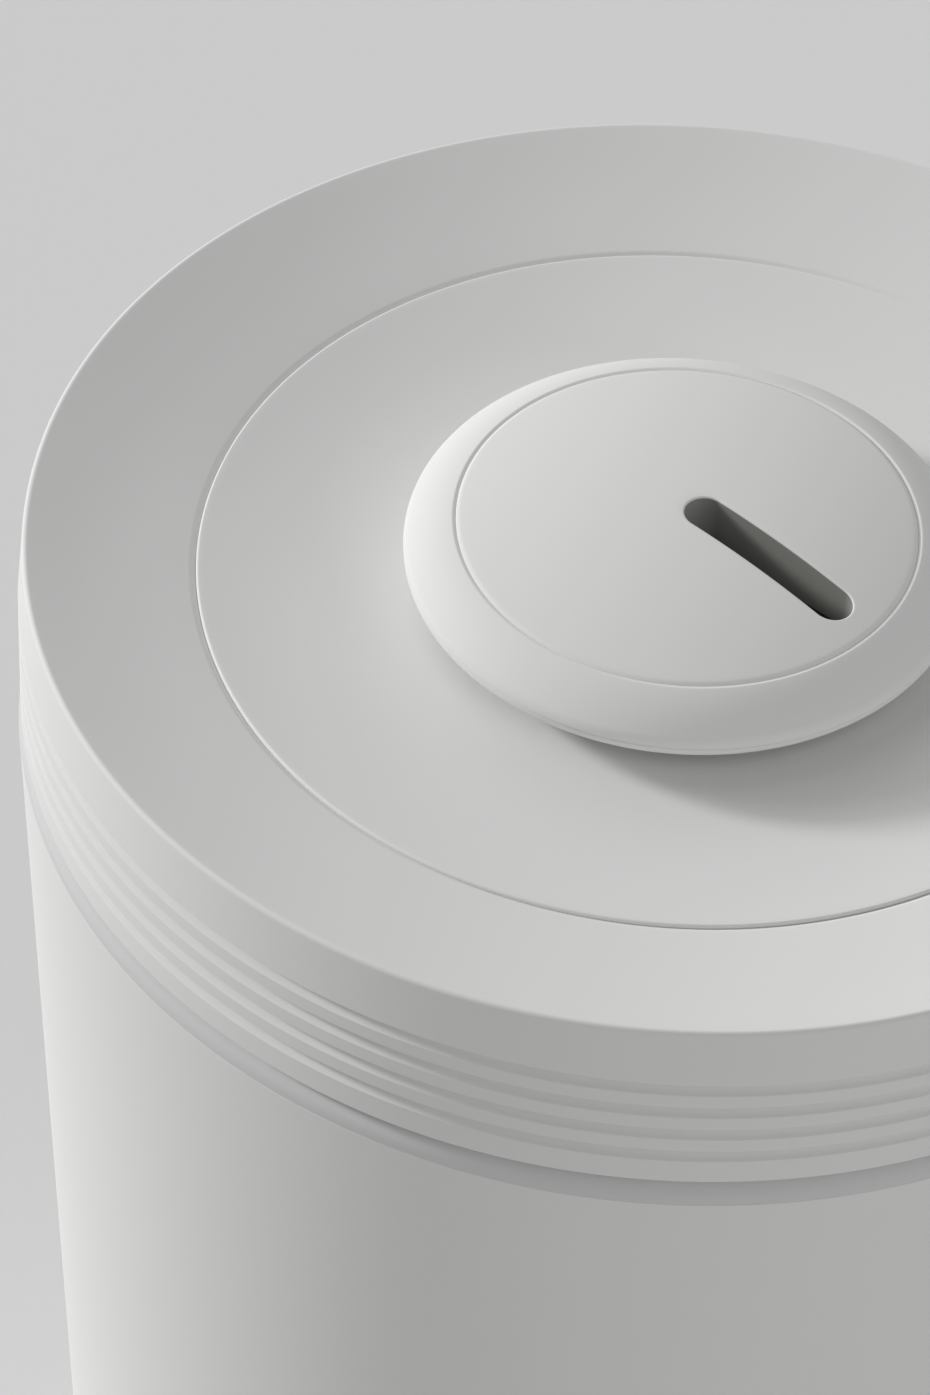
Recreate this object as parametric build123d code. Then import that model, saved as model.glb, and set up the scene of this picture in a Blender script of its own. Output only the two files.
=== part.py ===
import os
from math import asin, atan2, cos, degrees, pi, radians, sin, sqrt, tan

from build123d import *

# Round air purifier: a tapered canister with a pleated filter, and a lift-off head
# with the fan, the funnel-shaped top, the floating dome and its control dial.
# Millimetres, +Z up, origin on the floor under the axis; the front faces -Y.

# General clearances
fit_gap = 0.15            # between pieces fixed to each other
move_gap = 0.5            # between pieces that move past each other
running_gap = 0.05        # radial play of a shaft in its bearing

# Lid ring
rim_height = 370.0        # top edge of the lid above the floor
rim_radius = 120.3
rim_round = 0.8
lid_flare = 0.9           # how much the plain band widens towards the grooves
lid_height = 37.2
lid_wall = 2.0
band_height = 12.3        # plain band above the grooves
groove_count = 4
groove_pitch = 5.59
groove_width = 3.05
groove_depth = 1.0
groove_lip = 0.25         # height of the step at a groove's top
funnel_radius = 90.5      # inner edge of the sloping top
funnel_drop = 7.45
funnel_dip = 0.49         # how far the slope's two tangents meet below a straight cone
funnel_round = 300.0
seat_width = 5.6          # ledge that carries the dish
seat_thickness = 2.2
edge_round = 0.5
lid_boss_inset = 15.2     # screw bosses in from the lid's inner wall

# Outlet dish
seam_width = 1.6          # sloping side of the groove round the dish
seam_depth = 0.65
seam_round = 6.0
dish_round = 0.6          # dish's outer edge
dish_drop = 3.56          # from its outer edge to its flat middle
bowl_radius = 46.0        # where the bowl turns flat
dish_wall = 2.2
throat_radius = 37.0
throat_depth = 9.0
throat_round = 3.0

# Canister
shadow_gap = 5.5          # between the lid's lower edge and the canister
band_slit = 0.8           # left open above the band that fills the gap
band_inset = 0.5          # band inside the canister's top edge
body_round = 0.3          # canister's edges
body_step = 0.4           # canister's top edge outside the lid
body_taper = 2.2          # degrees
body_wall = 2.4
body_clearance = 4.0      # floor to the canister's lower edge
neck_inset = 3.2          # neck inside the lid's wall
neck_wall = 3.0
neck_depth = 20.0         # sleeve inside the canister
slot_count = 120
slot_width = 2.7
slot_length = 80.0
slot_bottom = 26.0
base_wall = 4.0
boss_radius = 4.5
boss_height = 16.0
boss_count = 4
boss_inset = 4.3          # boss axes in from the canister's lower bore
boss_web = 4.0            # thickness of the web from a boss to the wall
foot_radius = 9.0
foot_recess = 1.0
foot_inset = 18.5         # foot centres in from the bosses
foot_count = 4

# Filter cartridge
filter_clearance = 8.0    # between the cartridge and the bosses
filter_bore = 52.0
cap_wall = 3.0
cap_lip = 7.0
lip_wall = 1.5
pleat_count = 80
pleat_gap = 1.15          # inside the mesh sleeve
pleat_room = 4.85         # outside the carbon
pleat_sheet = 2.0         # radial thickness of the folded sheet
carbon_wall = 6.0
prefilter_wall = 1.2
gasket_width = 14.0
gasket_height = 4.0
strap_width = 14.0
strap_wall = 1.2
strap_overlap = 10.0      # how far the strap lies on the cap at each end
seat_height = 4.0         # filter seat above the base plate
seat_inset = 2.0

# Fan
electrics_room = 26.8     # between the duct and the neck
duct_wall = 2.2
duct_land = 22.2          # straight duct between the vanes and the cone
deck_wall = 3.0
seal_height = 1.5
flange_width = 8.0
flange_wall = 3.0
flange_turn = 30.0        # degrees, direction of the first flange screw
cone_height = 40.0
inlet_radius = 49.0
inlet_wall = 3.0
inlet_lip = 9.0
impeller_gap = 10.0       # between the wheel and the duct
impeller_height = 40.0
impeller_lift = 4.0       # shroud above the inlet plate
impeller_wall = 2.0
blade_count = 9
blade_wall = 1.8
blade_sweep = 42.0        # degrees from the eye to the rim
hub_radius = 9.0
hub_length = 24.0
vane_count = 11
vane_wall = 1.8
vane_height = 34.0
vane_ring_wall = 2.2
cup_room = 4.6            # between the motor and its cup
cup_wall = 2.4
motor_radius = 31.0
motor_height = 36.0
motor_wall = 2.0
motor_lift = 6.0          # motor cup above the impeller
shaft_radius = 3.0
bearing_radius = 8.0
bearing_height = 5.0
stator_inner = 17.0
tooth_count = 9
tooth_width = 5.0
stator_back = 4.0
magnet_gap = 1.5

# Dome and dial
stem_radius = 20.0
stem_wall = 2.4
cable_hole_radius = 4.0
guard_spokes = 24
guard_height = 3.0
guard_wall = 1.6
guard_ring = 2.0
dome_rim_width = 8.55     # from the dial's bore to the dome's widest line
dome_edge_drop = 2.5      # widest line of the dome below the rim
dome_edge_round = 2.8
dome_shoulder = 47.0      # degrees up the rounded edge where the flatter ring begins
dome_wall = 1.6
parting_gap = 0.25
dome_edge_fall = 1.25     # plain part of the lower shell's edge
dome_under_slope = 43.0   # degrees of the slope from the edge to the underside
dial_radius = 42.45
dial_gap = 0.3
dial_edge_rise = 4.1      # dial edge above the rim
dial_crown = 5.3
dial_wall = 2.2
dial_turn = -36.2         # degrees, direction of the slot at rest
pointer_width = 7.85
pointer_margin = 5.35     # from the slot's outer end to the dial's edge
pointer_wall = 1.6
pointer_lip = 0.6         # dial's own thickness round the slot
liner_wall = 0.8
skirt_gap = 0.75          # inside the dome's ledge
skirt_wall = 2.0
well_drop = 2.3           # bottom of the slot's well below the rim
carrier_wall = 1.5
carrier_hub_radius = 7.0
carrier_hub_length = 2.3
press_travel = 0.8
ledge_width = 3.0
ledge_wall = 1.6
encoder_width = 14.0
encoder_height = 5.2
plunger_radius = 3.0
plunger_length = 6.4
board_wall = 1.6
board_radius = 21.5
board_post_height = 2.6
board_post_radius = 2.2
board_post_circle = 15.5
board_post_count = 3

# Electrics in the head
main_board_width = 60.0
main_board_height = 46.0
main_board_gap = 8.0      # outside the duct
board_drop = 14.0         # top edge of the board below the deck
sensor_width = 36.0
sensor_depth = 12.0
sensor_height = 30.0
inlet_bezel_radius = 8.0
inlet_bezel_wall = 1.2
inlet_body_radius = 5.0
inlet_body_length = 14.0
inlet_bore_radius = 3.2
inlet_bore_depth = 9.5
inlet_pin_radius = 1.0

# Screws
screw_radius = 1.5
screw_head_radius = 3.0
screw_head_height = 2.0
screw_length = 12.0
short_screw_length = 6.0
lid_screw_count = 4
flange_screw_count = 6
dome_screw_circle = 12.0
dome_screw_count = 3
dome_screw_turn = 30.0    # degrees, direction of the first dome screw

# Radii and heights worked out from the sizes above
lid_radius = rim_radius + lid_flare
lid_bore = lid_radius - lid_wall
lid_bottom = rim_height - lid_height
lid_boss_circle = lid_bore - lid_boss_inset
body_radius = lid_radius + body_step
body_top = lid_bottom - shadow_gap
taper = tan(radians(body_taper))


def body_at(height):
    """Outer radius of the canister at a height."""
    return body_radius - (body_top - height) * taper


def bore_at(height):
    """Inner radius of the canister at a height."""
    return body_at(height) - body_wall


neck_radius = lid_bore - neck_inset
neck_bore = neck_radius - neck_wall
boss_circle = bore_at(body_clearance) - boss_inset
foot_circle = boss_circle - foot_inset
filter_radius = boss_circle - boss_radius - filter_clearance
sleeve_outer = filter_radius - lip_wall - fit_gap
carbon_outer = filter_bore + fit_gap + carbon_wall
pleat_outer = sleeve_outer - prefilter_wall - pleat_gap
pleat_inner = carbon_outer + pleat_room
duct_radius = neck_bore - electrics_room - duct_wall
duct_outer = duct_radius + duct_wall
flange_circle = duct_outer + flange_width / 2
impeller_radius = duct_radius - impeller_gap
impeller_eye = inlet_radius + inlet_wall
cup_radius = motor_radius + cup_room + cup_wall
magnet_radius = stator_inner - magnet_gap
seam_height = rim_height - funnel_drop
seat_top = seam_height - dish_wall
seam_radius = funnel_radius - seam_width
dish_radius = seam_radius - fit_gap
collar_radius = throat_radius + dish_wall + fit_gap
dial_bore = dial_radius + dial_gap
dial_sphere = (dial_radius**2 + dial_crown**2) / (2 * dial_crown)
dome_radius = dial_bore + dome_rim_width
skirt_radius = dial_bore - ledge_width - skirt_gap
pointer_length = dial_radius - pointer_margin
bulge_radius = board_radius + move_gap + dome_wall

neck_top = lid_bottom + edge_round
deck_bottom = neck_top + seal_height
deck_top = deck_bottom + deck_wall
cone_bottom = deck_bottom - cone_height
vane_bottom = cone_bottom - duct_land - vane_height
cup_bottom = vane_bottom - cup_wall
motor_bottom = vane_bottom
motor_top = motor_bottom + motor_height
cup_top = motor_top + fit_gap
impeller_top = cup_bottom - motor_lift
impeller_bottom = impeller_top - impeller_height
duct_bottom = impeller_bottom - impeller_lift
inlet_bottom = duct_bottom - inlet_wall
base_top = body_clearance + base_wall
filter_bottom = base_top + seat_height
filter_top = inlet_bottom - move_gap
cap_top = filter_top - gasket_height
media_bottom = filter_bottom + cap_wall + fit_gap
media_top = cap_top - cap_wall - fit_gap
throat_top = seam_height - dish_drop
throat_bottom = throat_top - dish_wall - throat_depth
dome_edge = rim_height - dome_edge_drop
dial_edge = rim_height + dial_edge_rise
dial_top = dial_edge + dial_crown
well_bottom = rim_height - well_drop
ledge_top = dial_edge - dial_wall - press_travel - move_gap
carrier_top = well_bottom
carrier_bottom = carrier_top - carrier_hub_length
plunger_top = carrier_top - fit_gap
encoder_top = carrier_bottom - press_travel - move_gap
encoder_bottom = encoder_top - encoder_height
board_bottom = encoder_bottom - board_wall
dome_floor = board_bottom - board_post_height - dome_wall
dome_hollow = carrier_top - carrier_wall - press_travel - move_gap
stem_top = dome_floor


def turned(points, rounds=None):
    """Solid of revolution from (radius, height) corners; rounds gives a corner's rounding."""
    rounds = rounds or {}
    radii = [rounds.get(number, 0) for number in range(len(points))]
    outline = FilletPolyline(*points, radius=radii, close=True)
    return revolve(Plane.XZ * make_face(outline), Axis.Z)


def tube(outer, inner, low, high):
    """Plain ring between two heights."""
    return turned([(inner, low), (outer, low), (outer, high), (inner, high)])


def disc(radius, low, high):
    """Plain cylinder between two heights."""
    return Pos(0, 0, (low + high) / 2) * Cylinder(radius, high - low)


def around(count, radius, start=0.0):
    """Places evenly spaced on a circle."""
    return PolarLocations(radius, count, start_angle=start)


def copies(places, shape):
    """The same solid at several places."""
    return [place * shape for place in places]


def joined(shapes):
    """One solid from overlapping ones."""
    result = shapes[0]
    for shape in shapes[1:]:
        result += shape
    return result


def screw(length, head_up=True):
    """Pan-head screw along Z with its head's seat at zero."""
    shank = Pos(0, 0, -length / 2) * Cylinder(screw_radius, length)
    head = Pos(0, 0, screw_head_height / 2) * Cylinder(screw_head_radius, screw_head_height)
    whole = shank + head
    return whole if head_up else Rot(180, 0, 0) * whole


def screw_hole(depth):
    """Clearance hole for a screw, open upwards from zero to its depth below."""
    return Pos(0, 0, -depth / 2) * Cylinder(screw_radius + fit_gap, depth)


def lid_ring():
    """Ribbed outer ring whose top slopes in to the seam, with a ledge for the dish."""
    slope = funnel_drop / (rim_radius - funnel_radius)
    under_rim = rim_height - (rim_radius - lid_bore) * slope - lid_wall
    ledge_bottom = seat_top - seat_thickness
    middle = (rim_radius + funnel_radius) / 2
    ring = turned(
        [
            (rim_radius, rim_height),
            (lid_radius, rim_height - band_height),
            (lid_radius, lid_bottom),
            (lid_bore, lid_bottom),
            (lid_bore, under_rim),
            (funnel_radius + lid_wall, ledge_bottom),
            (funnel_radius - seat_width, ledge_bottom),
            (funnel_radius - seat_width, seat_top),
            (seam_radius, seat_top),
            (seam_radius, seam_height - seam_depth),
            (funnel_radius, seam_height),
            (middle, (rim_height + seam_height) / 2 - funnel_dip),
        ],
        {0: rim_round, 2: edge_round, 10: seam_round, 11: funnel_round},
    )
    for number in range(groove_count):
        ring -= groove(rim_height - band_height - number * groove_pitch)
    boss_top = rim_height - (rim_radius - lid_boss_circle) * slope - lid_wall / 2
    boss = disc(boss_radius, deck_top, boss_top)
    boss -= Pos(0, 0, deck_top + screw_length) * screw_hole(screw_length)
    ring = joined([ring, *copies(around(lid_screw_count, lid_boss_circle, 45), boss)])
    pocket = Pos(0, 0, lid_wall) * Cylinder(inlet_bezel_radius + fit_gap, 2 * lid_wall)
    hole = Cylinder(inlet_body_radius + fit_gap, 4 * lid_wall)
    return ring - inlet_place() * pocket - inlet_place() * hole


def groove(top):
    """Cut that steps in under a rib and flares back out to the next rib's upper edge."""
    bottom = top - groove_width
    start = top - groove_lip
    fall = start - bottom
    ball = (fall**2 + groove_depth**2) / (2 * groove_depth)
    turn = asin(fall / ball)
    deepest = (lid_radius - groove_depth, start)
    centre = deepest[0] + ball
    between = (centre - ball * cos(turn / 2), start - ball * sin(turn / 2))
    outside = lid_radius + groove_depth
    outline = [
        ThreePointArc(deepest, between, (lid_radius, bottom)),
        Polyline((lid_radius, bottom), (outside, bottom), (outside, top), (lid_radius, top), deepest),
    ]
    return revolve(Plane.XZ * make_face(outline), Axis.Z)


def bowl_arc(start, floor, ball):
    """Arc of the bowl from its flat middle out to a radius, about a centre over the middle's edge."""
    centre = floor + ball
    turn = asin((start - bowl_radius) / ball)
    between = (bowl_radius + ball * sin(turn / 2), centre - ball * cos(turn / 2))
    outer = (start, centre - ball * cos(turn))
    return ThreePointArc((bowl_radius, floor), between, outer)


def outlet_dish():
    """Shallow bowl whose flat middle turns down into the outlet throat."""
    land = funnel_radius - seat_width - fit_gap
    run = dish_radius - bowl_radius
    ball = (run**2 + dish_drop**2) / (2 * dish_drop)
    top = bowl_arc(dish_radius, throat_top, ball)
    under = bowl_arc(land, throat_top - dish_wall, ball + dish_wall)
    bowl = revolve(
        Plane.XZ * make_face(
            [
                top,
                Polyline(top @ 1, (dish_radius, seat_top), (land, seat_top), under @ 1),
                under,
                Polyline(
                    under @ 0,
                    (throat_radius, throat_top - dish_wall),
                    (throat_radius, throat_top),
                    top @ 0,
                ),
            ]
        ),
        Axis.Z,
    )
    bowl = fillet(bowl.edges().filter_by(GeomType.CIRCLE).group_by(Axis.Z)[-1], dish_round)
    throat = tube(throat_radius + dish_wall, throat_radius, throat_bottom, throat_top - dish_wall)
    whole = bowl + throat
    lip = whole.edges().filter_by(GeomType.CIRCLE).filter_by(
        lambda edge: abs(edge.radius - throat_radius) < fit_gap and edge.center().Z > throat_top - fit_gap
    )
    return fillet(lip, throat_round)


def neck_ring():
    """Neck that carries the head, with the band that fills the gap under the lid but for a slit."""
    band_radius = body_radius - band_inset
    band_top = lid_bottom - band_slit
    foot = body_top + fit_gap
    under = foot - neck_wall
    sleeve_bottom = body_top - neck_depth
    return turned(
        [
            (neck_radius, neck_top),
            (neck_radius, band_top),
            (band_radius, band_top),
            (band_radius, foot),
            (bore_at(foot) - fit_gap, foot),
            (bore_at(sleeve_bottom) - fit_gap, sleeve_bottom),
            (bore_at(sleeve_bottom) - fit_gap - neck_wall, sleeve_bottom),
            (bore_at(under) - fit_gap - neck_wall, under),
            (neck_bore, under),
            (neck_bore, neck_top),
        ]
    )


def body_shell():
    """Tapered canister wall with the ring of intake slots near the floor."""
    shell = turned(
        [
            (body_radius, body_top),
            (body_at(body_clearance), body_clearance),
            (bore_at(body_clearance), body_clearance),
            (bore_at(body_top), body_top),
        ],
        {0: body_round, 1: body_round},
    )
    reach = 2 * (boss_inset + body_wall)
    boss = disc(boss_radius, base_top, base_top + boss_height)
    boss += Pos(reach / 2, 0, base_top + boss_height / 2) * Box(reach, boss_web, boss_height)
    boss -= Pos(0, 0, base_top + screw_length) * screw_hole(screw_length)
    bosses = copies(around(boss_count, boss_circle, 45), boss)
    limit = turned(
        [
            (0, base_top),
            (body_at(base_top) - body_wall / 2, base_top),
            (body_at(base_top + boss_height) - body_wall / 2, base_top + boss_height),
            (0, base_top + boss_height),
        ]
    )
    shell = joined([shell, *[boss & limit for boss in bosses]])
    middle = slot_bottom + slot_length / 2
    slot = extrude(Plane.YZ * SlotOverall(slot_length, slot_width, rotation=90), 4 * body_wall)
    start = body_at(middle) - 2.5 * body_wall
    half_step = 180 / slot_count
    return shell - [Pos(0, 0, middle) * place * slot for place in around(slot_count, start, half_step)]


def base_plate():
    """Floor of the canister with the filter's seat, foot recesses and screw holes."""
    edge = bore_at(body_clearance) - fit_gap
    seat_outer = filter_radius - cap_wall - seat_inset
    plate = disc(edge, body_clearance, base_top)
    plate += tube(seat_outer, filter_bore, base_top, filter_bottom)
    recess = disc(foot_radius, body_clearance, body_clearance + foot_recess)
    plate -= copies(around(foot_count, foot_circle, 0), recess)
    hole = Pos(0, 0, base_top) * screw_hole(base_wall)
    head_room = disc(
        screw_head_radius + fit_gap, body_clearance, body_clearance + screw_head_height
    )
    places = around(boss_count, boss_circle, 45)
    return plate - copies(places, hole) - copies(around(boss_count, boss_circle, 45), head_room)


def rubber_feet():
    """Soft pads under the base plate."""
    pad = turned(
        [(0, 0), (foot_radius, 0), (foot_radius, body_clearance + foot_recess),
         (0, body_clearance + foot_recess)],
        {1: edge_round},
    )
    return copies(around(foot_count, foot_circle, 0), pad)


def base_screws():
    """Screws that hold the base plate, heads below."""
    seat = body_clearance + screw_head_height
    part = Pos(0, 0, seat) * screw(screw_length, head_up=False)
    return copies(around(boss_count, boss_circle, 45), part)


def filter_bottom_cap():
    """Closed end cap with a lip round the pleats."""
    return turned(
        [
            (0, filter_bottom),
            (filter_radius, filter_bottom),
            (filter_radius, filter_bottom + cap_lip),
            (filter_radius - lip_wall, filter_bottom + cap_lip),
            (filter_radius - lip_wall, filter_bottom + cap_wall),
            (0, filter_bottom + cap_wall),
        ],
        {1: edge_round},
    )


def filter_top_cap():
    """Open end cap with the air bore."""
    return turned(
        [
            (filter_bore, cap_top),
            (filter_radius, cap_top),
            (filter_radius, cap_top - cap_lip),
            (filter_radius - lip_wall, cap_top - cap_lip),
            (filter_radius - lip_wall, cap_top - cap_wall),
            (filter_bore, cap_top - cap_wall),
        ],
        {1: edge_round},
    )


def zigzag(outer, inner):
    """Closed star outline with one outer and one inner corner per pleat."""
    step = pi / pleat_count
    radii = [outer, inner]
    corners = [
        (radii[number % 2] * cos(number * step), radii[number % 2] * sin(number * step))
        for number in range(2 * pleat_count)
    ]
    return make_face(Polyline(*corners, close=True))


def filter_media():
    """Sheet folded into pleats round the core."""
    sheet = zigzag(pleat_outer, pleat_inner + pleat_sheet)
    sheet -= zigzag(pleat_outer - pleat_sheet, pleat_inner)
    return Pos(0, 0, media_bottom) * extrude(sheet, media_top - media_bottom)


def carbon_core():
    """Tube of carbon inside the pleats."""
    return tube(carbon_outer, carbon_outer - carbon_wall, media_bottom, media_top)


def pre_filter():
    """Mesh sleeve outside the pleats, inside the caps' lips."""
    return tube(sleeve_outer, sleeve_outer - prefilter_wall, media_bottom, media_top)


def filter_gasket():
    """Foam ring between the filter and the inlet plate."""
    outer = filter_radius - lip_wall
    return tube(outer, outer - gasket_width, cap_top, filter_top)


def pull_strap():
    """Ribbon across the filter's bore for drawing it out."""
    span = 2 * (filter_bore + strap_overlap)
    return Pos(0, 0, cap_top + strap_wall / 2) * Box(span, strap_width, strap_wall)


def fan_housing():
    """Duct, cone and deck of the head in one moulding."""
    deck_radius = lid_bore - move_gap
    collar = collar_radius + duct_wall
    housing = turned(
        [
            (collar_radius, throat_bottom + throat_depth),
            (collar_radius, deck_bottom),
            (duct_radius, cone_bottom),
            (duct_radius, duct_bottom),
            (duct_outer + flange_width, duct_bottom),
            (duct_outer + flange_width, duct_bottom + flange_wall),
            (duct_outer, duct_bottom + flange_wall),
            (duct_outer, cone_bottom + duct_wall / 2),
            (collar + duct_wall / 2, deck_bottom),
            (deck_radius, deck_bottom),
            (deck_radius, deck_top),
            (collar, deck_top),
            (collar, throat_bottom + throat_depth),
        ]
    )
    lid_hole = Pos(0, 0, deck_top) * screw_hole(deck_wall)
    flange_hole = Pos(0, 0, duct_bottom + flange_wall) * screw_hole(flange_wall)
    housing -= copies(around(lid_screw_count, lid_boss_circle, 45), lid_hole)
    housing -= copies(around(flange_screw_count, flange_circle, flange_turn), flange_hole)
    return joined([housing, *board_posts(), *sensor_posts()])


def board_posts():
    """Two posts under the deck that carry the main board."""
    depth = main_board_gap - fit_gap
    post = Box(2 * boss_radius, depth, board_drop + 2 * boss_radius)
    y = duct_outer + depth / 2
    x = main_board_width / 2 - boss_radius
    z = deck_bottom - (board_drop + 2 * boss_radius) / 2
    return [Pos(side * x, y, z) * post for side in (-1, 1)]


def sensor_posts():
    """Bracket under the deck that carries the particle sensor."""
    depth = main_board_gap - fit_gap
    x = duct_outer + depth / 2
    height = board_drop + 2 * boss_radius
    return [Pos(-x, 0, deck_bottom - height / 2) * Box(depth, 2 * boss_radius, height)]


def head_seal():
    """Soft ring between the head's deck and the canister's neck."""
    return tube(neck_radius - fit_gap, neck_bore + fit_gap, neck_top, deck_bottom)


def inlet_plate():
    """Plate under the fan with its rounded inlet."""
    outer = duct_outer + flange_width
    plate = turned(
        [
            (inlet_radius, inlet_bottom),
            (outer, inlet_bottom),
            (outer, duct_bottom),
            (inlet_radius + inlet_wall, duct_bottom),
            (inlet_radius + inlet_wall, inlet_bottom + inlet_lip - inlet_wall),
            (inlet_radius, inlet_bottom + inlet_lip - inlet_wall),
        ],
        {0: inlet_wall * 0.9},
    )
    hole = Pos(0, 0, duct_bottom) * screw_hole(inlet_wall)
    return plate - copies(around(flange_screw_count, flange_circle, flange_turn), hole)


def inlet_screws():
    """Screws that hold the inlet plate to the duct's flange, heads above."""
    part = Pos(0, 0, duct_bottom + flange_wall) * screw(short_screw_length - fit_gap)
    return copies(around(flange_screw_count, flange_circle, flange_turn), part)


def lid_screws():
    """Screws that hold the lid ring to the deck, heads below."""
    part = Pos(0, 0, deck_bottom) * screw(screw_length, head_up=False)
    return copies(around(lid_screw_count, lid_boss_circle, 45), part)


def blade_outline(inner, outer, sweep, wall):
    """Backward-swept blade as a bent strip between two radii."""
    middle = (inner + outer) / 2
    first = Vector(inner, 0)
    centre = Vector(middle, 0).rotate(Axis.Z, sweep * 0.42)
    last = Vector(outer, 0).rotate(Axis.Z, sweep)
    turn = degrees(wall / middle)
    back = [point.rotate(Axis.Z, turn) for point in (first, centre, last)]
    return make_face(
        [
            ThreePointArc(first, centre, last),
            Line(last, back[2]),
            ThreePointArc(back[2], back[1], back[0]),
            Line(back[0], first),
        ]
    )


def impeller():
    """Backward-curved centrifugal wheel with a shroud, a back plate and a hub."""
    low = impeller_bottom + impeller_wall
    high = impeller_top - impeller_wall
    shroud = tube(impeller_radius, impeller_eye, impeller_bottom, low)
    plate = disc(impeller_radius, high, impeller_top)
    hub = disc(hub_radius, impeller_top - hub_length, impeller_top)
    outline = blade_outline(impeller_eye, impeller_radius - impeller_wall, blade_sweep, blade_wall)
    blade = Pos(0, 0, low - fit_gap) * extrude(outline, high - low + 2 * fit_gap)
    wheel = joined([shroud, plate, hub, *copies(around(blade_count, 0), blade)])
    return wheel - disc(shaft_radius, impeller_top - hub_length, impeller_top)


def motor_shaft():
    """Steel shaft through the motor and the wheel's hub."""
    return disc(shaft_radius, impeller_top - hub_length, motor_top - motor_wall)


def rotor_magnet():
    """Magnet ring fixed on the shaft."""
    low = motor_bottom + motor_wall + bearing_height + move_gap
    high = motor_top - motor_wall - bearing_height - move_gap
    return tube(magnet_radius, shaft_radius, low, high)


def guide_vanes():
    """Motor cup joined to an outer ring by straightening vanes."""
    outer = duct_radius - fit_gap
    ring = tube(outer, outer - vane_ring_wall, vane_bottom, vane_bottom + vane_height)
    cup = tube(cup_radius, cup_radius - cup_wall, cup_bottom, cup_top)
    floor = tube(cup_radius, bearing_radius + cup_wall, cup_bottom, motor_bottom)
    span = outer - vane_ring_wall / 2 - cup_radius + cup_wall / 2
    vane = Pos(cup_radius - cup_wall / 2 + span / 2, 0, vane_bottom + vane_height / 2)
    vane *= Box(span, vane_wall, vane_height)
    return joined([ring, cup + floor, *copies(around(vane_count, 0), vane)])


def motor_can():
    """Motor housing with a bearing pocket in each end."""
    can = disc(motor_radius, motor_bottom, motor_top)
    can -= disc(motor_radius - motor_wall, motor_bottom + motor_wall, motor_top - motor_wall)
    low_end = motor_bottom + motor_wall
    high_end = motor_top - motor_wall
    pocket = bearing_radius + motor_wall
    can += tube(pocket, bearing_radius, low_end, low_end + bearing_height)
    can += tube(pocket, bearing_radius, high_end - bearing_height, high_end)
    return can - disc(shaft_radius + move_gap, motor_bottom, low_end)


def bearing(low):
    """Plain view of a ball bearing as one ring."""
    return tube(bearing_radius, shaft_radius + running_gap, low, low + bearing_height)


def lower_bearing():
    """Bearing at the wheel's end of the motor."""
    return bearing(motor_bottom + motor_wall)


def upper_bearing():
    """Bearing at the far end of the motor."""
    return bearing(motor_top - motor_wall - bearing_height)


def stator_core():
    """Laminated ring with inward teeth, fixed in the motor can."""
    low = motor_bottom + motor_wall + bearing_height + move_gap
    high = motor_top - motor_wall - bearing_height - move_gap
    outer = motor_radius - motor_wall - fit_gap
    ring = tube(outer, outer - stator_back, low, high)
    span = outer - stator_back / 2 - stator_inner
    tooth = Pos(stator_inner + span / 2, 0, (low + high) / 2) * Box(span, tooth_width, high - low)
    return joined([ring, *copies(around(tooth_count, 0), tooth)])


def stem():
    """Column from the motor cup up through the throat to the dome."""
    inner = stem_radius - stem_wall
    foot = cup_top + fit_gap
    column = turned(
        [
            (cup_radius, foot),
            (cup_radius, foot + stem_wall),
            (stem_radius, foot + stem_wall + cup_radius - stem_radius),
            (stem_radius, stem_top),
            (cable_hole_radius, stem_top),
            (cable_hole_radius, stem_top - stem_wall),
            (inner, stem_top - stem_wall),
            (inner, foot + stem_wall + cup_radius - stem_radius),
            (cup_radius - stem_wall, foot),
        ]
    )
    hole = Pos(0, 0, stem_top) * screw_hole(stem_wall)
    return column - copies(around(dome_screw_count, dome_screw_circle, dome_screw_turn), hole)


def outlet_guard():
    """Spoked ring in the throat between the stem and the dish."""
    low = throat_bottom + fit_gap
    inner = stem_radius + fit_gap
    outer = throat_radius - fit_gap
    span = outer - inner - guard_ring
    spoke = Pos(inner + guard_ring / 2 + span / 2, 0, low + guard_height / 2)
    spoke *= Box(span, guard_wall, guard_height)
    rings = [
        tube(inner + guard_ring, inner, low, low + guard_height),
        tube(outer, outer - guard_ring, low, low + guard_height),
    ]
    return joined([*rings, *copies(around(guard_spokes, 0), spoke)])


def dome_ring():
    """Rounded upper shell of the dome round the dial."""
    core = dome_radius - dome_edge_round
    shoulder = radians(dome_shoulder)
    top = (dial_bore, dial_edge)
    bend = (core + dome_edge_round * cos(shoulder), dome_edge + dome_edge_round * sin(shoulder))
    widest = (dome_radius, dome_edge)
    halfway = radians(dome_shoulder / 2)
    between = (core + dome_edge_round * cos(halfway), dome_edge + dome_edge_round * sin(halfway))
    crest = crown_point(top, bend, dome_shoulder - 4)
    ledge_inner = dial_bore - ledge_width
    outline = [
        ThreePointArc(top, crest, bend),
        ThreePointArc(bend, between, widest),
        Polyline(
            widest,
            (core, dome_edge),
            (dial_bore + dome_wall, ledge_top - ledge_wall),
            (ledge_inner, ledge_top - ledge_wall),
            (ledge_inner, ledge_top),
            (dial_bore, ledge_top),
            top,
        ),
    ]
    return revolve(Plane.XZ * make_face(outline), Axis.Z)


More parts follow.
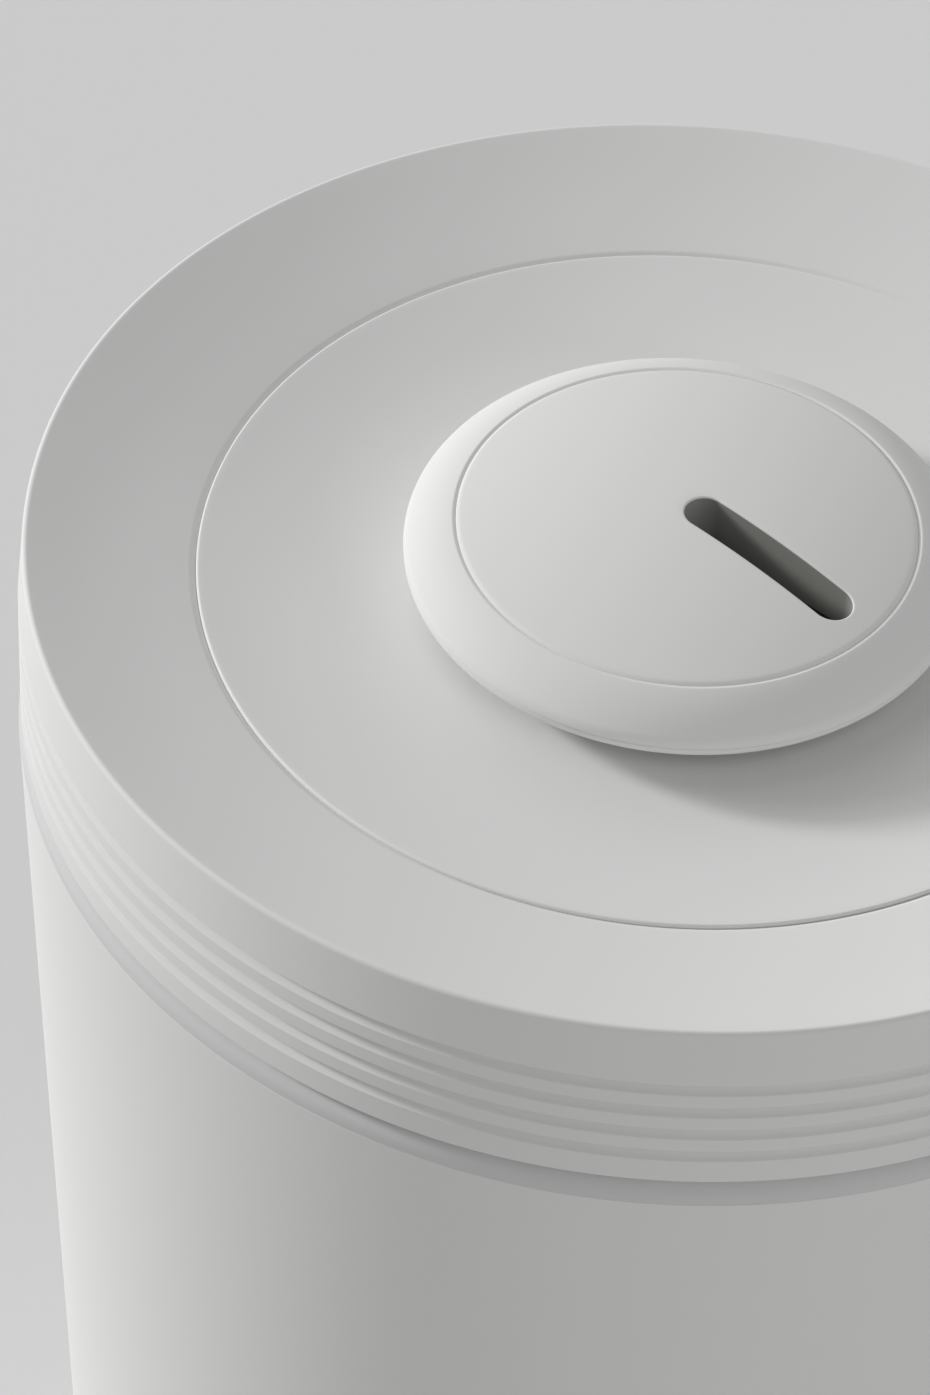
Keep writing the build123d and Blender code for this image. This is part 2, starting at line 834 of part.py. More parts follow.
def crown_point(start, end, end_slope):
    """Middle of a falling arc between two points, given its slope at the end in degrees."""
    run = end[0] - start[0]
    fall = start[1] - end[1]
    chord = sqrt(run**2 + fall**2)
    chord_slope = atan2(fall, run)
    half_bend = radians(end_slope) - chord_slope
    sagitta = chord / 2 * tan(half_bend / 2)
    middle = ((start[0] + end[0]) / 2, (start[1] + end[1]) / 2)
    return (middle[0] + sagitta * sin(chord_slope), middle[1] + sagitta * cos(chord_slope))


def dome_base():
    """Lower shell of the dome, a shallow pan round the board's cup."""
    edge = dome_radius - parting_gap / 4
    parting = dome_edge - parting_gap
    underside = dome_hollow - dome_wall
    slope_top = parting - dome_edge_fall
    slope_run = (slope_top - underside) / tan(radians(dome_under_slope))
    return turned(
        [
            (bulge_radius + fit_gap, underside),
            (edge - slope_run, underside),
            (edge, slope_top),
            (edge, parting),
            (edge - dome_edge_round, parting),
            (edge - slope_run, dome_hollow),
            (bulge_radius + fit_gap, dome_hollow),
        ],
        {1: dome_edge_round, 2: dome_edge_round * 0.8},
    )


def board_cup():
    """Cup pressed into the dome's lower shell, with posts for the board."""
    cup = turned(
        [
            (0, dome_floor),
            (bulge_radius, dome_floor),
            (bulge_radius, dome_hollow),
            (bulge_radius - dome_wall, dome_hollow),
            (bulge_radius - dome_wall, dome_floor + dome_wall),
            (0, dome_floor + dome_wall),
        ],
        {1: dome_wall / 2},
    )
    post = disc(board_post_radius, dome_floor + dome_wall, board_bottom)
    cup = joined([cup, *copies(around(board_post_count, board_post_circle, 90), post)])
    cup -= disc(cable_hole_radius, dome_floor, dome_floor + dome_wall)
    hole = Pos(0, 0, dome_floor + dome_wall) * screw_hole(dome_wall)
    return cup - copies(around(dome_screw_count, dome_screw_circle, dome_screw_turn), hole)


def dome_screws():
    """Screws that hold the board's cup to the stem, heads above."""
    part = Pos(0, 0, dome_floor + dome_wall) * screw(dome_wall + stem_wall - fit_gap)
    return copies(around(dome_screw_count, dome_screw_circle, dome_screw_turn), part)


def control_board():
    """Round circuit board under the dial."""
    return disc(board_radius, board_bottom, encoder_bottom)


def encoder_body():
    """Rotary encoder's body with the bore of its plunger."""
    body = Pos(0, 0, (encoder_bottom + encoder_top) / 2)
    body *= Box(encoder_width, encoder_width, encoder_height)
    bore_bottom = plunger_top - plunger_length - press_travel - move_gap
    return body - disc(plunger_radius + running_gap, bore_bottom, encoder_top)


def encoder_shaft():
    """Plunger that the dial turns on and presses down."""
    return disc(plunger_radius, plunger_top - plunger_length, plunger_top)


def dial_carrier():
    """Dark disc under the dial, with the hub on the plunger."""
    carrier = disc(skirt_radius, carrier_top - carrier_wall, carrier_top)
    carrier += disc(carrier_hub_radius, carrier_bottom, carrier_top)
    return carrier - disc(plunger_radius + running_gap, carrier_bottom, carrier_top)


def pointer_prism(grown):
    """Tall stadium prism on the slot's place, grown all round by a wall."""
    sketch = Pos(pointer_length / 2, 0) * SlotOverall(pointer_length + 2 * grown, pointer_width + 2 * grown)
    return Rot(0, 0, dial_turn) * Pos(0, 0, well_bottom) * extrude(sketch, dial_top - well_bottom)


def cap_sphere(inset):
    """Ball whose top is the dial's crowned face, moved in by an inset."""
    return Pos(0, 0, dial_top - dial_sphere) * Sphere(dial_sphere - inset)


def dial_disc():
    """Crowned control dial with a radial slot and a socket under it for the slot's liner."""
    socket = liner_wall + fit_gap
    blank = disc(dial_radius, dial_edge - dial_wall, dial_top) & cap_sphere(0)
    cap = blank - cap_sphere(dial_wall)
    skirt = tube(skirt_radius, skirt_radius - skirt_wall, well_bottom, dial_top)
    inside = disc(skirt_radius, well_bottom, dial_top) & cap_sphere(dial_wall / 2)
    dial = joined([cap, (pointer_prism(socket + pointer_wall) + skirt) & inside])
    return dial - pointer_prism(0) - (pointer_prism(socket) & cap_sphere(pointer_lip))


def pointer_liner():
    """Dark liner of the slot, from under the dial's lip down to the carrier."""
    return (pointer_prism(liner_wall) & cap_sphere(pointer_lip + fit_gap)) - pointer_prism(0)


def main_board():
    """Power and motor board behind the duct."""
    y = duct_outer + main_board_gap + board_wall / 2
    z = deck_bottom - board_drop - main_board_height / 2
    return Pos(0, y, z) * Box(main_board_width, board_wall, main_board_height)


def particle_sensor():
    """Dust sensor beside the duct."""
    x = duct_outer + main_board_gap + sensor_depth / 2
    z = deck_bottom - board_drop - sensor_height / 2
    return Pos(-x, 0, z) * Box(sensor_depth, sensor_width, sensor_height)


def inlet_place():
    """Axis of the power inlet through the back of the lid ring, pointing out along +Y."""
    height = rim_height - band_height - (lid_height - band_height) / 2
    return Pos(0, lid_radius - inlet_bezel_wall, height) * Rot(-90, 0, 0)


def power_inlet():
    """Round low-voltage socket with its contact pin."""
    body = Pos(0, 0, inlet_bezel_wall - inlet_body_length / 2)
    body *= Cylinder(inlet_body_radius, inlet_body_length)
    bezel = Pos(0, 0, inlet_bezel_wall / 2) * Cylinder(inlet_bezel_radius, inlet_bezel_wall)
    bore = Pos(0, 0, inlet_bezel_wall - inlet_bore_depth / 2)
    bore *= Cylinder(inlet_bore_radius, inlet_bore_depth)
    pin_length = inlet_bore_depth - inlet_bezel_wall
    pin = Pos(0, 0, -inlet_bore_depth + inlet_bezel_wall + pin_length / 2)
    pin *= Cylinder(inlet_pin_radius, pin_length)
    return inlet_place() * (body + bezel - bore + pin)


pieces = [
    body_shell, neck_ring, base_plate, rubber_feet, base_screws,
    filter_media, filter_top_cap, filter_bottom_cap, carbon_core, pre_filter,
    filter_gasket, pull_strap,
    lid_ring, outlet_dish, fan_housing, inlet_plate, inlet_screws, lid_screws, head_seal,
    guide_vanes, motor_can, stator_core, lower_bearing, upper_bearing,
    stem, outlet_guard, dome_ring, dome_base, board_cup, dome_screws,
    control_board, encoder_body, main_board, particle_sensor, power_inlet,
    impeller, motor_shaft, rotor_magnet,
    encoder_shaft, dial_disc, pointer_liner, dial_carrier,
]

os.makedirs("parts", exist_ok=True)
for piece in pieces:
    shape = piece()
    if isinstance(shape, list):
        shape = Compound(children=[solid for item in shape for solid in item.solids()])
    export_step(shape, f"parts/{piece.__name__}.step")
    print(piece.__name__, len(shape.solids()), round(shape.volume))
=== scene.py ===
import bpy
import bmesh
import math
import numpy as np
from mathutils import Matrix, Vector


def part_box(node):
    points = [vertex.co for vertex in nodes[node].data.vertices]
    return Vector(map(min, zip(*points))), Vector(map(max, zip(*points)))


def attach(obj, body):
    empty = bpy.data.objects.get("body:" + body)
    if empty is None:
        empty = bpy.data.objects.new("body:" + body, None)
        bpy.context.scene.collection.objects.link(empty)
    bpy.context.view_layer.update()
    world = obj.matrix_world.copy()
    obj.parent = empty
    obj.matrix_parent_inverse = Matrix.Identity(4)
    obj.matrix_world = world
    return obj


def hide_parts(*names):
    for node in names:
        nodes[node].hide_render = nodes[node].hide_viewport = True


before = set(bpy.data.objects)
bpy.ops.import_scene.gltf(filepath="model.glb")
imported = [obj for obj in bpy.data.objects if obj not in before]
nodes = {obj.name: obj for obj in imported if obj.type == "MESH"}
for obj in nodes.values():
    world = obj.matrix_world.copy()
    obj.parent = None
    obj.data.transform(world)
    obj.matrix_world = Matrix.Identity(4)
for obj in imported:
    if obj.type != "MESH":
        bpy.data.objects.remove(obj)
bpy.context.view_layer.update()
scene = bpy.context.scene
scene.view_settings.view_transform = "Standard"
print("frame:", len(nodes), "nodes")


# closed outline in (radius, height); a corner with a rounding becomes a tangent arc
def roundedOutline(corners, rounds, arcSteps=7):
    points = []
    count = len(corners)
    for number, corner in enumerate(corners):
        here = np.array(corner, float)
        size = rounds.get(number, 0)
        if size == 0:
            points.append(here[None, :])
            continue
        before = np.array(corners[number - 1], float) - here
        after = np.array(corners[(number + 1) % count], float) - here
        before /= np.linalg.norm(before)
        after /= np.linalg.norm(after)
        half = math.acos(np.clip(before @ after, -1, 1)) / 2
        bisector = (before + after) / np.linalg.norm(before + after)
        centre = here + bisector * size / math.sin(half)
        start = here + before * size / math.tan(half) - centre
        end = here + after * size / math.tan(half) - centre
        turn = math.atan2(start[0] * end[1] - start[1] * end[0], start @ end)
        angle = np.linspace(0, turn, arcSteps + 1)[:, None]
        across = np.array([-start[1], start[0]])
        points.append(centre + start * np.cos(angle) + across * np.sin(angle))
    return np.concatenate(points)


# long straight runs get a point close to each end and others between, so shading stays flat
def filledRuns(points, longest=0.006, guard=0.0003, closed=True):
    ends = np.roll(points, -1, axis=0) if closed else points[1:]
    starts = points if closed else points[:-1]
    runs = []
    for start, end in zip(starts, ends):
        length = np.linalg.norm(end - start)
        if length < 4 * guard:
            steps = np.array([0.0])
        else:
            inner = np.linspace(guard / length, 1 - guard / length, max(2, int(length / longest) + 1))
            steps = np.concatenate([[0.0], inner])
        runs.append(start + (end - start) * steps[:, None])
    if not closed:
        runs.append(points[-1:])
    return np.concatenate(runs)


# quads of a grid: each joins a point to the next in its row and in its column, wrapping where asked
def gridFaces(rows, columns, wrapRows, wrapColumns):
    row = np.arange(rows if wrapRows else rows - 1)
    column = np.arange(columns if wrapColumns else columns - 1)
    i, j = np.meshgrid(row, column, indexing="ij")
    nextI, nextJ = (i + 1) % rows, (j + 1) % columns
    quads = [i * columns + j, nextI * columns + j, nextI * columns + nextJ, i * columns + nextJ]
    return np.stack(quads, -1).reshape(-1, 4)


smoothAngle = 35  # degrees; a sharper edge is shaded as an edge
weldDistance = 2e-6


def meshObject(name, vertices, quads, sharpAngle=smoothAngle, weld=False):
    mesh = bpy.data.meshes.new(name)
    mesh.from_pydata(vertices.tolist(), [], quads.tolist())
    work = bmesh.new()
    work.from_mesh(mesh)
    if weld:
        bmesh.ops.remove_doubles(work, verts=work.verts, dist=weldDistance)
    bmesh.ops.recalc_face_normals(work, faces=work.faces)
    work.to_mesh(mesh)
    work.free()
    mesh.shade_smooth()
    mesh.set_sharp_from_angle(angle=math.radians(sharpAngle))
    made = bpy.data.objects.new(name, mesh)
    scene.collection.objects.link(made)
    return made


# lathe: every outline point (r, z) is carried round the axis, x = r cos a, y = r sin a
def latheArrays(outline, turns, closed=True):
    angle = np.linspace(0, 2 * math.pi, turns, endpoint=False)
    radius, height = outline[:, 0:1], outline[:, 1:2]
    vertices = np.stack(
        [radius * np.cos(angle), radius * np.sin(angle), height + 0 * angle], -1
    ).reshape(-1, 3)
    return vertices, gridFaces(len(outline), turns, closed, True)


def lathe(name, outline, turns=288):
    vertices, quads = latheArrays(outline, turns)
    return meshObject(name, vertices, quads)


def finishPiece(piece, body, slotName, material, *replaced):
    piece.data.materials.append(material)
    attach(piece, body)
    if replaced:
        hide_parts(*replaced)
    return piece


# shader helpers
def addNode(tree, kind, **values):
    node = tree.nodes.new(kind)
    for key, value in values.items():
        setattr(node, key, value)
    return node


def socket(group, name, direction, kind="NodeSocketFloat", value=None):
    made = group.interface.new_socket(name=name, in_out=direction, socket_type=kind)
    if value is not None:
        made.default_value = value
    return made


# fine spark-eroded skin: tiny grain for the bump, slow cloudiness for tone and gloss
def skinGroup():
    group = bpy.data.node_groups.new("mouldedSkin", "ShaderNodeTree")
    socket(group, "Tone", "INPUT", "NodeSocketColor", (0.8, 0.8, 0.8, 1))
    socket(group, "Tone Spread", "INPUT", value=0.02)
    socket(group, "Gloss", "INPUT", value=0.5)
    socket(group, "Gloss Spread", "INPUT", value=0.05)
    socket(group, "Grain Scale", "INPUT", value=2600.0)
    socket(group, "Cloud Scale", "INPUT", value=14.0)
    socket(group, "Color", "OUTPUT", "NodeSocketColor")
    socket(group, "Roughness", "OUTPUT")
    socket(group, "Grain", "OUTPUT")
    start = addNode(group, "NodeGroupInput")
    end = addNode(group, "NodeGroupOutput")
    place = addNode(group, "ShaderNodeTexCoord")
    grain = addNode(group, "ShaderNodeTexNoise", noise_dimensions="3D")
    grain.inputs["Detail"].default_value = 3
    cloud = addNode(group, "ShaderNodeTexNoise", noise_dimensions="3D")
    cloud.inputs["Detail"].default_value = 4
    group.links.new(place.outputs["Object"], grain.inputs["Vector"])
    group.links.new(place.outputs["Object"], cloud.inputs["Vector"])
    group.links.new(start.outputs["Grain Scale"], grain.inputs["Scale"])
    group.links.new(start.outputs["Cloud Scale"], cloud.inputs["Scale"])
    centred = addNode(group, "ShaderNodeMath", operation="SUBTRACT")
    group.links.new(cloud.outputs["Fac"], centred.inputs[0])
    centred.inputs[1].default_value = 0.5
    spread = addNode(group, "ShaderNodeMath", operation="MULTIPLY_ADD")
    group.links.new(centred.outputs[0], spread.inputs[0])
    group.links.new(start.outputs["Tone Spread"], spread.inputs[1])
    spread.inputs[2].default_value = 1.0
    tone = addNode(group, "ShaderNodeVectorMath", operation="SCALE")
    group.links.new(start.outputs["Tone"], tone.inputs[0])
    group.links.new(spread.outputs[0], tone.inputs["Scale"])
    group.links.new(tone.outputs[0], end.inputs["Color"])
    gloss = addNode(group, "ShaderNodeMath", operation="MULTIPLY_ADD")
    group.links.new(centred.outputs[0], gloss.inputs[0])
    group.links.new(start.outputs["Gloss Spread"], gloss.inputs[1])
    group.links.new(start.outputs["Gloss"], gloss.inputs[2])
    group.links.new(gloss.outputs[0], end.inputs["Roughness"])
    group.links.new(grain.outputs["Fac"], end.inputs["Grain"])
    return group


skin = skinGroup()


def plastic(name, tone, gloss, grainScale=2600.0, toneSpread=0.02, glossSpread=0.06,
            bump=0.05, bumpDepth=0.00005, metallic=0.0, specular=0.5):
    material = bpy.data.materials.new(name)
    material.use_nodes = True
    tree = material.node_tree
    shader = tree.nodes["Principled BSDF"]
    shader.inputs["Metallic"].default_value = metallic
    shader.inputs["Specular IOR Level"].default_value = specular
    group = addNode(tree, "ShaderNodeGroup", node_tree=skin)
    group.inputs["Tone"].default_value = (*tone, 1)
    group.inputs["Tone Spread"].default_value = toneSpread
    group.inputs["Gloss"].default_value = gloss
    group.inputs["Gloss Spread"].default_value = glossSpread
    group.inputs["Grain Scale"].default_value = grainScale
    relief = addNode(tree, "ShaderNodeBump")
    relief.inputs["Strength"].default_value = bump
    relief.inputs["Distance"].default_value = bumpDepth
    tree.links.new(group.outputs["Color"], shader.inputs["Base Color"])
    tree.links.new(group.outputs["Roughness"], shader.inputs["Roughness"])
    tree.links.new(group.outputs["Grain"], relief.inputs["Height"])
    tree.links.new(relief.outputs["Normal"], shader.inputs["Normal"])
    return material


shellWhite = plastic("shellWhite", (0.84, 0.84, 0.833), 0.7, specular=0.25)
# painted shade: the neck band's grey, a touch cooler than the shell, stands in for the shade inside the gap
# under the lid
paintedShadeBand = plastic("paintedShadeBand", (0.705, 0.705, 0.714), 0.7, specular=0.25)
innerGrey = plastic("innerGrey", (0.115, 0.118, 0.122), 0.48, toneSpread=0.08)
linerDark = plastic("linerDark", (0.34, 0.34, 0.32), 0.6, toneSpread=0.06)
mattBlack = plastic("mattBlack", (0.010, 0.010, 0.010), 0.6, toneSpread=0.1)
softRubber = plastic(
    "softRubber", (0.022, 0.022, 0.023), 0.72, grainScale=1500, toneSpread=0.15, bump=0.15
)
turnedSteel = plastic("turnedSteel", (0.56, 0.56, 0.57), 0.3, metallic=1.0, toneSpread=0.08)
castAlloy = plastic(
    "castAlloy", (0.60, 0.61, 0.62), 0.42, metallic=1.0, grainScale=1800, toneSpread=0.1, bump=0.2
)
darkIron = plastic("darkIron", (0.10, 0.10, 0.105), 0.5, metallic=1.0, toneSpread=0.12)
pleatPaper = plastic(
    "pleatPaper", (0.78, 0.78, 0.74), 0.9, grainScale=900, toneSpread=0.1, bump=0.25, specular=0.2
)
carbonFelt = plastic(
    "carbonFelt", (0.016, 0.016, 0.017), 0.95, grainScale=700, toneSpread=0.4, bump=0.6, specular=0.2
)
greyMesh = plastic(
    "greyMesh", (0.10, 0.105, 0.11), 0.85, grainScale=1200, toneSpread=0.2, bump=0.5, specular=0.3
)
boardGreen = plastic("boardGreen", (0.012, 0.075, 0.035), 0.32, toneSpread=0.15)
print("materials:", len(bpy.data.materials))


# lid ring: a hollow sloping top, a plain band and four grooves; each groove steps in under a rib
# and flares back out along an arc that starts upright
lidShape = {
    "rimRadius": 0.1203, "flare": 0.0009, "height": 0.0372, "wall": 0.0020, "band": 0.0123,
    "rimRound": 0.0008, "innerRound": 0.0003,
    "grooveCount": 4, "groovePitch": 0.00559, "grooveWidth": 0.0026, "grooveDepth": 0.0016,
    "grooveLip": 0.00025, "ribRound": 0.00012, "lipRound": 0.00020, "edgeRound": 0.0005,
    "funnelRadius": 0.0905, "funnelDrop": 0.00745, "funnelDip": 0.00049, "funnelRound": 0.3,
    "seatWidth": 0.0056, "seatThick": 0.0022, "seamWidth": 0.0016, "seamDepth": 0.00085,
    "seamSlope": 0.0010, "seamRound": 0.0016, "inletRadius": 0.00815, "inletReach": 0.0040,
}
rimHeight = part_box("lid_ring")[0].z + lidShape["height"]
lidBottom = rimHeight - lidShape["height"]
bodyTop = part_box("body_shell")[1].z
dishWall = 0.0022
hairline = 0.00004


# round hole along y, cut with a Boolean whose result becomes the mesh
def sideHole(piece, radius, height, start, end):
    outline = np.array([(0, start), (radius, start), (radius, end), (0, end)])
    vertices, quads = latheArrays(outline, 64)
    vertices = vertices[:, [0, 2, 1]] + np.array([0, 0, height])
    cutter = meshObject("cutter", vertices, quads, weld=True)
    cut = piece.modifiers.new("inletHole", "BOOLEAN")
    cut.object, cut.operation, cut.solver = cutter, "DIFFERENCE", "EXACT"
    shaped = piece.evaluated_get(bpy.context.evaluated_depsgraph_get())
    mesh = bpy.data.meshes.new_from_object(shaped)
    piece.modifiers.clear()
    piece.data = mesh
    mesh.set_sharp_from_angle(angle=math.radians(smoothAngle))
    bpy.data.objects.remove(cutter)


def lidRing(shape):
    outer = shape["rimRadius"] + shape["flare"]
    inner = outer - shape["wall"]
    seam = rimHeight - shape["funnelDrop"]
    seat = seam - dishWall
    ledge = seat - shape["seatThick"]
    seamRadius = shape["funnelRadius"] - shape["seamWidth"]
    seatInner = shape["funnelRadius"] - shape["seatWidth"]
    slope = shape["funnelDrop"] / (shape["rimRadius"] - shape["funnelRadius"])
    underRim = rimHeight - (shape["rimRadius"] - inner) * slope - shape["wall"]
    fall = shape["grooveWidth"] - shape["grooveLip"]
    ball = (fall**2 + shape["grooveDepth"] ** 2) / (2 * shape["grooveDepth"])
    down = np.linspace(0, fall, 10)
    flared = outer - shape["grooveDepth"] + ball - np.sqrt(ball**2 - down**2)
    flare = np.stack([flared, -shape["grooveLip"] - down], 1)
    corners = [(shape["rimRadius"], rimHeight)]
    rounds = {0: shape["rimRound"]}
    for number in range(shape["grooveCount"]):
        top = rimHeight - shape["band"] - number * shape["groovePitch"]
        rounds[len(corners)] = shape["ribRound"]
        corners += [(outer, top), *map(tuple, flare + np.array([0, top]))]
        rounds[len(corners) - 1] = shape["lipRound"]
    rounds[len(corners)] = shape["edgeRound"]
    rounds[len(corners) + 1] = shape["innerRound"]
    middle = (shape["rimRadius"] + shape["funnelRadius"]) / 2
    middleHeight = (rimHeight + seam) / 2 - shape["funnelDip"]
    past = shape["seamWidth"] - shape["seamSlope"]
    seamTop = seam - past * (middleHeight - seam) / (middle - shape["funnelRadius"])
    corners += [
        (outer, lidBottom), (inner, lidBottom), (inner, underRim),
        (shape["funnelRadius"] + shape["wall"], ledge), (seatInner, ledge), (seatInner, seat),
        (seamRadius, seat),
        (seamRadius, seam - shape["seamDepth"]), (seamRadius + shape["seamSlope"], seamTop),
    ]
    rounds[len(corners) - 1] = shape["seamRound"]
    rounds[len(corners)] = shape["funnelRound"]
    corners.append((middle, middleHeight))
    piece = lathe("lidRing", filledRuns(roundedOutline(corners, rounds)), 360)
    inletHeight = rimHeight - shape["band"] - (shape["height"] - shape["band"]) / 2
    reach = shape["inletReach"]
    sideHole(piece, shape["inletRadius"], inletHeight, inner - reach, outer + reach)
    return piece


lid = finishPiece(lidRing(lidShape), "head", "white_shell", shellWhite, "lid_ring")
print("lid:", len(lid.data.polygons), "faces")


# dish: a bowl whose arc starts flat at the middle and rises to the seam; the middle turns down
# into the throat
dishShape = {
    "drop": 0.00356, "bowlRadius": 0.0460, "edgeRound": 0.00045, "landInset": 0.00575,
    "throatRadius": 0.0370, "throatDepth": 0.0090, "throatRound": 0.0030,
}


def outletDish(shape):
    seam = rimHeight - lidShape["funnelDrop"]
    edge = lidShape["funnelRadius"] - lidShape["seamWidth"] - hairline
    land = lidShape["funnelRadius"] - shape["landInset"]
    run = edge - shape["bowlRadius"]
    ball = (run**2 + shape["drop"] ** 2) / (2 * shape["drop"])
    throatTop = seam - shape["drop"]
    throatBottom = throatTop - dishWall - shape["throatDepth"]
    throatOuter = shape["throatRadius"] + dishWall

    def bowl(start, end, sink):
        radius = np.linspace(start, end, 28)
        out = radius - shape["bowlRadius"]
        return np.stack([radius, throatTop + ball - np.sqrt((ball + sink) ** 2 - out**2)], 1)

    top = bowl(shape["bowlRadius"], edge, 0)
    under = bowl(land, shape["bowlRadius"], dishWall)
    corners = [
        (shape["throatRadius"], throatTop), *map(tuple, top),
        (edge, seam - dishWall), (land, seam - dishWall), *map(tuple, under),
        (throatOuter, throatTop - dishWall), (throatOuter, throatBottom),
        (shape["throatRadius"], throatBottom),
    ]
    rounds = {0: shape["throatRound"], len(top): shape["edgeRound"]}
    return lathe("outletDish", filledRuns(roundedOutline(corners, rounds)), 360)


dish = finishPiece(outletDish(dishShape), "head", "white_shell", shellWhite, "outlet_dish")
print("dish:", len(dish.data.polygons), "faces")


# dome: an upper shell with a rounded edge and a lower shell under the parting line
domeShape = {
    "radius": 0.0513, "edgeDrop": 0.0025, "edgeRound": 0.0028, "shoulder": 47.0, "bore": 0.04204,
    "dialRise": 0.0041, "wall": 0.0016, "ledgeWidth": 0.0030, "ledgeWall": 0.0016, "ledgeDrop": 0.0035,
    "lipWidth": 0.0006, "lipDrop": 0.00016, "lipRound": 0.0005, "parting": 0.00014, "partingRound": 0.00015,
    "edgeFall": 0.00125, "underSlope": 43.0, "underRound": 0.00224, "underDrop": 0.0018,
    "bulge": 0.0236, "bulgeRound": 0.0008, "cornerRound": 0.0016, "cableHole": 0.0040,
}


# arc between two points whose slope at the far end is given, as points along it
def fallingArc(start, end, endSlope, steps):
    start, end = np.array(start), np.array(end)
    run, fall = end[0] - start[0], start[1] - end[1]
    chordSlope = math.atan2(fall, run)
    bend = 2 * (math.radians(endSlope) - chordSlope)
    radius = math.hypot(run, fall) / (2 * math.sin(bend / 2))
    last = math.radians(endSlope)
    slope = np.linspace(last - bend, last, steps)
    centre = end - radius * np.array([math.sin(last), math.cos(last)])
    return centre + radius * np.stack([np.sin(slope), np.cos(slope)], 1)


# lathe of the lip by the dial, the falling arc, the round edge and the ledge that the dial sits over
def domeUpper(shape):
    edge = rimHeight - shape["edgeDrop"]
    ball = shape["edgeRound"]
    core = shape["radius"] - ball
    shoulder = math.radians(shape["shoulder"])
    top = (shape["bore"] + shape["lipWidth"], rimHeight + shape["dialRise"])
    bend = (core + ball * math.cos(shoulder), edge + ball * math.sin(shoulder))
    crest = fallingArc(top, bend, 90 - shape["shoulder"], 14)
    around = np.linspace(shoulder, 0, 14)[1:]
    rounded = np.stack([core + ball * np.cos(around), edge + ball * np.sin(around)], 1)
    ledgeTop = rimHeight + shape["dialRise"] - shape["ledgeDrop"]
    ledgeInner = shape["bore"] - shape["ledgeWidth"]
    ledgeUnder = ledgeTop - shape["ledgeWall"]
    corners = [
        (shape["bore"], top[1] - shape["lipDrop"]), *map(tuple, crest), *map(tuple, rounded), (core, edge),
        (shape["bore"] + shape["wall"], ledgeUnder), (ledgeInner, ledgeUnder), (ledgeInner, ledgeTop),
        (shape["bore"], ledgeTop),
    ]
    return lathe("domeUpper", filledRuns(roundedOutline(corners, {1: shape["lipRound"]})), 360)


# lathe of the short edge under the parting line, the slope inwards and the cup in the middle
def domeLower(shape):
    edge = shape["radius"] - shape["parting"] / 4
    parting = rimHeight - shape["edgeDrop"] - shape["parting"]
    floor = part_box("board_cup")[0].z
    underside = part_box("dial_carrier")[0].z - shape["underDrop"] - shape["wall"]
    slopeTop = parting - shape["edgeFall"]
    run = (slopeTop - underside) / math.tan(math.radians(shape["underSlope"]))
    hollow = underside + shape["wall"]
    inner = shape["bulge"] - shape["wall"]
    corners = [
        (shape["cableHole"], floor), (shape["bulge"], floor), (shape["bulge"], underside),
        (edge - run, underside), (edge, slopeTop), (edge, parting),
        (edge - shape["edgeRound"], parting), (edge - run, hollow), (inner, hollow),
        (inner, floor + shape["wall"]), (shape["cableHole"], floor + shape["wall"]),
    ]
    rounds = {
        1: shape["bulgeRound"], 2: shape["cornerRound"], 3: shape["edgeRound"], 4: shape["underRound"],
        5: shape["partingRound"],
    }
    return lathe("domeLower", filledRuns(roundedOutline(corners, rounds)), 360)


domeTop = finishPiece(domeUpper(domeShape), "head", "white_shell", shellWhite, "dome_ring")
domeUnder = finishPiece(domeLower(domeShape), "head", "white_shell", shellWhite, "dome_base", "board_cup")
print("dome:", len(domeTop.data.polygons) + len(domeUnder.data.polygons), "faces")


# dial: rings blend from the slot's stadium outline to the round edge, each laid on the crowned ball;
# the slot's dark liner is a stadium tube under the dial's lip
dialShape = {
    "radius": 0.04200, "edgeRise": 0.00424, "crown": 0.00516, "wall": 0.0022, "turn": -36.2,
    "slotWidth": 0.00785, "slotLength": 0.0371, "wellDrop": 0.0023, "lipRound": 0.00035,
    "edgeWidth": 0.0009, "edgeFall": 0.00033, "linerWall": 0.0008, "linerGap": 0.00001, "socket": 0.00095,
}


# stadium from the axis outwards: two half circles joined by straight sides, resampled evenly
def stadium(width, length, offset, count):
    half = width / 2 + offset
    near, far = width / 2, length - width / 2
    straight = far - near
    total = 2 * straight + 2 * math.pi * half
    along = np.linspace(0, total, count, endpoint=False)
    arc = math.pi * half
    x = np.empty(count)
    y = np.empty(count)
    one = along < straight
    two = (along >= straight) & (along < straight + arc)
    three = (along >= straight + arc) & (along < 2 * straight + arc)
    four = along >= 2 * straight + arc
    x[one], y[one] = near + along[one], -half
    angle = (along[two] - straight) / half - math.pi / 2
    x[two], y[two] = far + half * np.cos(angle), half * np.sin(angle)
    x[three], y[three] = far - (along[three] - straight - arc), half
    angle = (along[four] - 2 * straight - arc) / half + math.pi / 2
    x[four], y[four] = near + half * np.cos(angle), half * np.sin(angle)
    return np.stack([x, y], 1)


# height on the crowned ball above a point of the plan, or on a ball that is smaller by the inset
def dialHeight(shape, plan, inset=0.0):
    ball = (shape["radius"] ** 2 + shape["crown"] ** 2) / (2 * shape["crown"])
    top = rimHeight + shape["edgeRise"] + shape["crown"]
    return top - ball + np.sqrt((ball - inset) ** 2 - (plan**2).sum(-1))


ringAngle = 40  # smoothing angle of the ring-built pieces, in degrees


